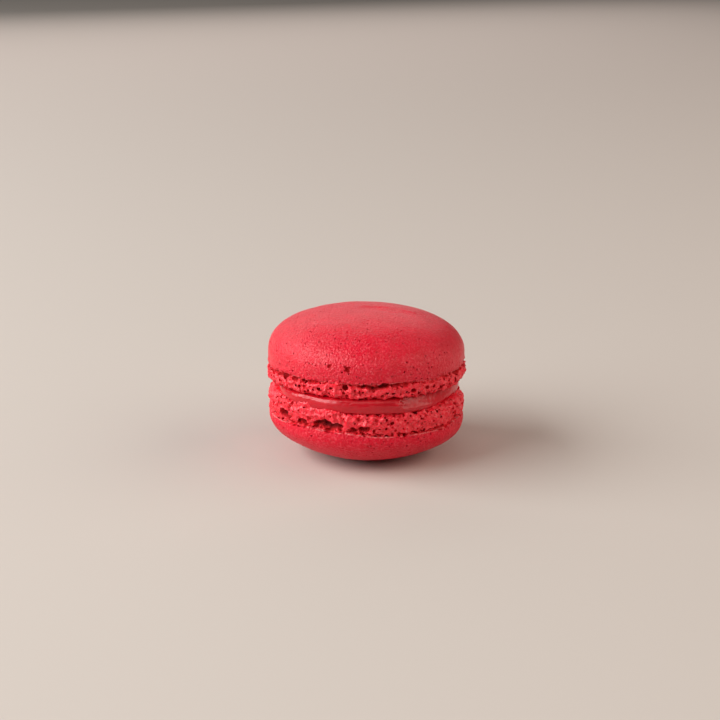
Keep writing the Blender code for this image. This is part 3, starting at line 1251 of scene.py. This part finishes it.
@dataclass
class Filling:
    """The glossy layer squeezed between the shells."""

    lower: Shell
    upper: Shell
    finish: SoftFilling
    segments: int = 160
    outline: Ripple = Ripple.drawn(3672, 2, 9, 7)
    bulge: float = 0.22 * MM
    recesses: tuple[Swell, ...] = (
        Swell(-86.0, 40.0, out=-1.3 * MM),
        Swell(62.0, 42.0, out=-1.1 * MM),
    )
    scrapes: tuple[Scrape, ...] = (
        Scrape(-9.0, -50.0, (0.55, 0.72), (0.73, 0.98), math.radians(25.0), 0.02 * MM),
        Scrape(20.7, 74.0, (0.30, 0.34), (1.1, 1.1), math.radians(26.0), 0.10 * MM),
    )

    def __post_init__(self) -> None:
        """Sink the layer's underside and top into the two feet."""
        self.plan = self.lower.plan
        self.low = self.lower.flat - 0.45 * MM
        self.high = self.upper.flat + 0.25 * MM
        self.tall = self.high - self.low

    def profile(self) -> list[tuple[float, float]]:
        """Return the rings from the lower face, round the edge, to the upper face."""
        lower = ((-3.0, 0.0), (-0.20, 0.0), (0.02, 0.10), (0.16, 0.25), (0.22, 0.40))
        upper = ((0.22, 0.54), (0.12, 0.68), (-0.08, 0.81), (-0.48, 0.92), (-1.00, 1.0), (-3.0, 1.0))
        radius = self.plan.filling_radius
        return [(radius + side * MM, self.low + share * self.tall) for side, share in lower + upper]

    def scraped(self, points: Points) -> Points:
        """Flatten the faces that the spatula left, and heap what it pushed ahead of it."""
        radius, angle = to_polar(points)
        bearing = np.degrees(angle - FRONT)
        share = (points[:, 2] - self.low) / self.tall
        outside = radius > self.plan.filling_radius - 1.1 * MM
        for scrape in self.scrapes:
            above = (share - scrape.between(scrape.low, bearing)) * self.tall
            face = self.plan.filling_radius + self.bulge - scrape.sunk - above * math.tan(scrape.lean)
            radius = radius + outside * scrape.run(bearing, share) * (face - radius)
        heap = bump(bearing, 18.4, 2.4) * bump(share, 0.6, 0.3)
        return from_polar(radius + outside * heap * 0.25 * MM, angle, points[:, 2])

    def leaning(self, points: Points) -> Points:
        """Make the layer follow both shells' flat sides, and draw back at the sides."""
        radius, angle = to_polar(points)
        share = np.clip((points[:, 2] - self.low) / self.tall, 0.0, 1.0)
        outer = self.plan.outer_share(radius)
        radius = radius + outer * 0.24 * MM * self.outline.at(angle)
        for recess in self.recesses:
            radius = radius + outer * recess.out * recess.share(angle)
        moved = from_polar(radius, angle, points[:, 2])
        lean = share * self.plan.rise_upper(moved[:, 1]) + (1.0 - share) * self.plan.rise_lower(moved[:, 0])
        moved[:, 2] += lean + self.plan.rim_swing(angle, radius)
        return moved

    def build(self) -> Piece:
        """Model the filling.

        Returns:
            The finished mesh, undressed.
        """
        layer = turned_cage("filling_layer", self.segments, self.profile(), closed=True)
        subdivide_smoothly(layer, 2)
        reshape(layer, self.scraped)
        reshape(layer, self.leaning)
        Relief("slumps", 3.6 * MM, 0.18 * MM).press(layer)
        Relief("smears", 0.9 * MM, 0.14 * MM).press(layer)
        return layer

    def dress(self, layer: Piece) -> None:
        """Give the filling its finish and its place in the object."""
        dress(layer, self.finish.material(), "filling")


# ---------------- the studio


@dataclass(frozen=True)
class SoftLight:
    """A soft rectangular light, placed by its bearing and rise in degrees and its reach."""

    name: str
    bearing: float
    rise: float
    wide: float
    tall: float
    power: float
    colour: Colour
    reach: float = 1.0

    def hang(self) -> None:
        """Hang the light so that it faces the macaron."""
        data = bpy.data.lights.new(self.name, "AREA")
        set_fields(data, shape="RECTANGLE", size=self.wide, size_y=self.tall)
        set_fields(data, energy=self.power, color=self.colour)
        lamp = put_in(self.name, data)
        rise = math.radians(self.rise)
        lamp.location = on_rim(self.bearing, self.reach * math.cos(rise), self.reach * math.sin(rise))
        lamp.rotation_euler = (QUARTER - rise, 0.0, bearing_angle(self.bearing) + QUARTER)


@dataclass(frozen=True)
class Studio:
    """A plain pale floor, soft light from the left and the camera."""

    lights: tuple[SoftLight, ...] = (
        SoftLight("window", -77.0, 32.5, 1.15, 0.65, 14.5, (1.0, 0.99, 0.98)),
        SoftLight("front_card", 0.0, 48.0, 0.9, 0.45, 1.7, (1.0, 0.82, 0.73)),
        SoftLight("side_card", 84.0, 32.0, 1.2, 0.6, 5.1, (1.0, 0.81, 0.71)),
        SoftLight("back_wall", -162.0, 25.0, 1.3, 0.6, 3.0, (1.0, 0.87, 0.84)),
    )
    floor_colour: Colour = (0.625, 0.590, 0.545)
    sky_colour: Colour = (1.0, 0.9, 0.8)
    sky_strength: float = 0.02
    lens: float = 85.0
    distance: float = 394.0 * MM
    pitch: float = math.radians(17.0)
    aim: tuple[float, float, float] = (-1.5 * MM, 0.0, 21.4 * MM)

    def add_camera(self) -> None:
        """Put the camera in front of the macaron, looking a little down on it."""
        data = bpy.data.cameras.new("camera")
        set_fields(data, lens=self.lens, sensor_width=36.0, clip_start=0.01, clip_end=20.0)
        camera = put_in("camera", data)
        back = self.distance * math.cos(self.pitch)
        rise = self.distance * math.sin(self.pitch)
        camera.location = (self.aim[0], self.aim[1] - back, self.aim[2] + rise)
        camera.rotation_euler = (QUARTER - self.pitch, 0.0, 0.0)
        bpy.context.scene.camera = camera

    def add_floor(self) -> None:
        """Lay the floor."""
        deselect_all()
        bpy.ops.mesh.primitive_plane_add(size=8.0, location=(0.0, 0.0, 0.0))
        floor = active()
        floor.name = "floor"
        dull = {"Base Color": (*self.floor_colour, 1.0), "Roughness": 1.0, "Specular IOR Level": 0.0}
        floor.data.materials.append(Shader("pale_floor").finish(dull))

    def add_sky(self) -> None:
        """Fill the room with even light."""
        world = bpy.data.worlds.new("room")
        world.use_nodes = True
        back = world.node_tree.nodes["Background"]
        back.inputs["Color"].default_value = (*self.sky_colour, 1.0)
        back.inputs["Strength"].default_value = self.sky_strength
        bpy.context.scene.world = world

    def build(self) -> None:
        """Set up floor, lights and camera."""
        self.add_floor()
        for light in self.lights:
            light.hang()
        self.add_sky()
        self.add_camera()
        bpy.context.scene.view_settings.view_transform = "Standard"


# ---------------- the two shells' own places


def hollows_at(*rows: tuple[float, ...]) -> tuple[Hollow, ...]:
    """Return hollows from rows of bearing, and offset, length, tall and depth in millimetres."""
    return tuple(Hollow(bearing, *in_mm(sizes)) for bearing, *sizes in rows)


def blisters_at(*rows: tuple[float, ...]) -> tuple[Bubble, ...]:
    """Return blisters from rows of bearing, roll, and radius, height and half sizes in millimetres."""
    found = []
    for bearing, roll, *sizes in rows:
        radius, height, *halves = in_mm(sizes)
        found.append(Bubble(on_rim(bearing, radius, height), *halves, roll))
    return tuple(found)


def folds_along(*rows: tuple[float, ...]) -> tuple[Fold, ...]:
    """Return folds from rows of x, y to x, y, height and width in millimetres."""
    return tuple(Fold(tuple(in_mm(row[:4])), *in_mm(row[4:])) for row in rows)


UPPER_HOLLOWS = hollows_at(
    (9.7, 0.35, 2.2, 1.2, 2.2),
    (3.9, 0.7, 2.0, 1.0, 1.8),
    (17.0, 0.35, 1.9, 0.9, 1.3),
    (22.3, 0.4, 1.3, 1.4, 1.2),
    (27.6, 2.0, 1.0, 0.95, 1.2),
    (18.1, 1.3, 0.5, 0.5, 0.6),
    (-6.1, 0.1, 2.6, 0.45, 1.0),
    (-20.6, 0.15, 2.0, 0.45, 1.0),
    (-32.1, 0.2, 1.9, 0.9, 1.6),
    (-40.0, 0.3, 1.5, 0.8, 1.5),
    (-46.5, 0.5, 1.5, 1.1, 1.6),
    (-53.5, 0.5, 1.3, 1.0, 1.4),
    (-62.0, 0.4, 1.7, 1.1, 1.4),
    (-69.0, 0.5, 1.5, 1.0, 1.3),
    (-42.4, 2.0, 0.55, 0.55, 0.6),
    (-33.5, 1.3, 0.55, 0.5, 0.6),
    (-35.5, 2.3, 0.5, 0.5, 0.6),
    (-22.8, 1.6, 0.5, 0.8, 0.7),
    (34.4, 0.4, 0.8, 0.5, 0.8),
    (41.0, 0.5, 1.1, 0.8, 1.0),
    (44.9, 0.5, 0.7, 1.0, 0.8),
)
LOWER_HOLLOWS = hollows_at(
    (-56.3, 1.9, 2.5, 2.0, 2.5),
    (-40.6, 0.9, 2.6, 1.4, 1.9),
    (-34.9, 0.7, 1.0, 0.5, 1.2),
    (-22.6, 1.4, 8.0, 1.7, 2.3),
    (-7.3, 0.9, 1.2, 1.3, 1.6),
    (-1.2, 1.4, 2.0, 1.4, 1.8),
    (7.4, 0.4, 2.4, 0.5, 1.2),
    (19.0, 0.5, 1.4, 0.8, 1.3),
    (28.9, 0.3, 2.2, 0.5, 1.0),
    (34.1, 1.3, 1.0, 0.6, 0.9),
    (5.6, 3.7, 0.9, 0.8, 0.9),
    (18.2, 3.7, 0.6, 0.6, 0.7),
    (31.8, 4.2, 0.6, 0.55, 0.7),
    (61.6, 2.0, 1.0, 0.8, 1.0),
    (11.8, 3.0, 1.9, 1.5, 0.5),
    (-29.0, 2.5, 1.4, 1.0, 0.6),
)
BLISTERS = blisters_at(
    (-21.8, 0.3, 22.35, 26.28, 0.48, 0.48, 0.62),
    (-20.9, 0.5, 22.30, 26.55, 0.34, 0.20, 0.45),
    (-22.4, -0.4, 22.30, 26.02, 0.24, 0.18, 0.45),
    (-11.0, 0.0, 22.35, 25.90, 0.58, 0.56, 0.62),
    (-12.3, -0.5, 22.30, 26.42, 0.42, 0.24, 0.5),
    (-9.9, 0.6, 22.30, 26.30, 0.34, 0.26, 0.42),
    (-10.2, 0.8, 22.35, 25.45, 0.32, 0.28, 0.42),
    (-12.4, 0.2, 22.35, 25.60, 0.26, 0.20, 0.35),
    (-14.0, 0.3, 22.40, 25.20, 0.28, 0.22, 0.4),
)
CROWN_FOLDS = folds_along(
    (-1.5, 3.6, 3.0, 3.1, 0.07, 0.75),
    (2.6, 2.6, 5.2, 2.9, 0.10, 0.55),
    (4.8, -0.8, 7.2, -0.5, 0.09, 0.55),
    (7.2, -0.2, 8.9, 1.8, 0.08, 0.60),
    (9.0, 0.9, 11.4, 0.3, 0.10, 0.55),
    (-3.0, 4.5, 12.0, 1.5, 0.16, 2.2),
)
UPPER_SWELLS = (
    Swell(82.0, 32.0, climb=0.8 * MM, out=0.35 * MM),
    Swell(-70.0, 50.0, climb=0.2 * MM, out=0.35 * MM),
)
LOWER_SWELLS = (
    Swell(-34.0, 62.0, climb=-0.6 * MM),
    Swell(68.0, 22.0, climb=-0.9 * MM, lift=0.3 * MM),
    Swell(-92.0, 34.0, lift=0.55 * MM),
    Swell(-39.0, 33.0, lift=1.9 * MM),
)
LOWER_RAMPS = (Swell(-80.0, 14.0), Swell(76.0, 16.0))


def build_macaron() -> None:
    """Build and dress every piece of the macaron."""
    plan = Plan()
    lower = Shell(
        side=Side.LOWER,
        plan=plan,
        flat=15.5 * MM,
        edge=10.2 * MM,
        rim=8.9 * MM,
        crown=-0.35 * MM,
        fullness=(1.95, 1.78),
        seed=11,
        edge_seed=2785,
        crown_shift=0.7 * MM,
        front_hollows=LOWER_HOLLOWS,
        swells=LOWER_SWELLS,
    )
    upper = Shell(
        side=Side.UPPER,
        plan=plan,
        flat=18.0 * MM,
        edge=21.7 * MM,
        rim=24.05 * MM,
        crown=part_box("upper_shell")[1].z + 0.05 * MM,
        fullness=(2.42, 2.25),
        seed=29,
        edge_seed=1463,
        crown_shift=-0.6 * MM,
        front_hollows=UPPER_HOLLOWS,
        swells=UPPER_SWELLS,
        folds=CROWN_FOLDS,
        blisters=BLISTERS,
    )
    crust = Meringue(
        name="crust",
        light=(0.785, 0.000, 0.027),
        deep=(0.725, 0.000, 0.021),
        painted_glint=(0.09, 0.052, 0.055),
        roughness=0.345,
        shine=0.47,
        grain=0.44 * MM,
        grain_depth=0.35 * MM,
    )
    base = replace(crust, name="crust_base", shine=0.30, roughness=0.45)
    foot = Meringue(
        name="foot",
        light=(0.97, 0.010, 0.038),
        deep=(0.91, 0.004, 0.026),
        painted_glint=(0.02, 0.100, 0.100),
        roughness=0.40,
        shine=0.55,
        grain=0.34 * MM,
        grain_depth=0.12 * MM,
        pore_depth=0.16 * MM,
    )
    jam = SoftFilling("filling", (0.60, 0.005, 0.019), (0.55, 0.003, 0.014), 0.29)
    parts = (
        Crust(lower, base),
        Foot(lower, foot, LOWER_RAMPS),
        Crust(upper, crust),
        Foot(upper, foot),
        Filling(lower, upper, jam),
    )
    for part in parts:
        part.dress(part.build())


def main() -> None:
    """Build the studio and the macaron, and note the sizes."""
    logging.basicConfig(level=logging.INFO, format="%(name)s: %(message)s")
    Studio().build()
    build_macaron()


if __name__ == "__main__":
    main()
